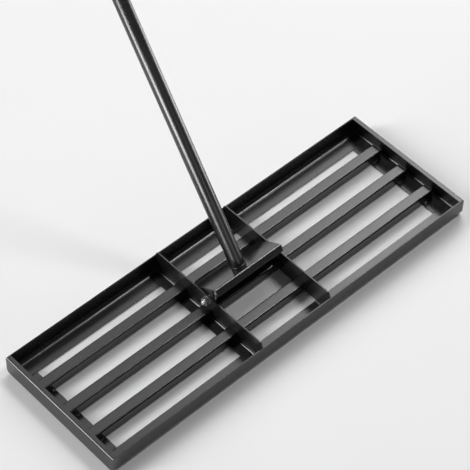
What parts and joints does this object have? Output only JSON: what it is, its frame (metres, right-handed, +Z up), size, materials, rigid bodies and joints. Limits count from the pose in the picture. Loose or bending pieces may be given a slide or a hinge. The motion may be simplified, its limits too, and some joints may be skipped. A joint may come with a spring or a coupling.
{
  "type": "lawn leveling rake",
  "caption": "Wide flat welded steel head with open slats and a long tube handle that tilts on bolts, for drawing sand or soil level over a lawn.",
  "frame": {"origin": "on the ground, at the middle of the flat foot of the front rail; the pivot axis is 105.5 mm behind it and 40 mm up", "axes": "+X along the head to its right end seen from the front, +Y to the rear, the way the handle leans, +Z up from the ground"},
  "size_m": [0.762, 1.1211, 1.4768],
  "materials": {
    "powder_coat": "semi-gloss black powder coat on steel",
    "zinc_plate": "bright zinc plate",
    "grip_rubber": "matt black rubber"
  },
  "bodies": {
    "head": {"front_rail": "powder_coat", "rear_rail": "powder_coat", "left_end_rail": "powder_coat", "right_end_rail": "powder_coat", "rear_slat": "powder_coat", "middle_slat": "powder_coat", "front_slat": "powder_coat", "left_strap": "powder_coat", "right_strap": "powder_coat", "pivot_bolts": "zinc_plate", "pivot_nuts": "zinc_plate", "outer_washers": "zinc_plate", "spacer_washers": "zinc_plate"},
    "handle": {"saddle": "powder_coat", "left_ear": "powder_coat", "right_ear": "powder_coat", "lower_tube": "powder_coat", "middle_tube": "powder_coat", "upper_tube": "powder_coat", "joint_bolts": "zinc_plate", "joint_nuts": "zinc_plate", "grip": "grip_rubber", "end_cap": "grip_rubber"}
  },
  "joints": [
    {"name": "handle_tilt", "type": "hinge", "parent": "head", "child": "handle", "pos_m": [0, 0.1055, 0.04], "axis": [1, 0, 0], "range_deg": [-43.5, 112.5]}
  ]
}
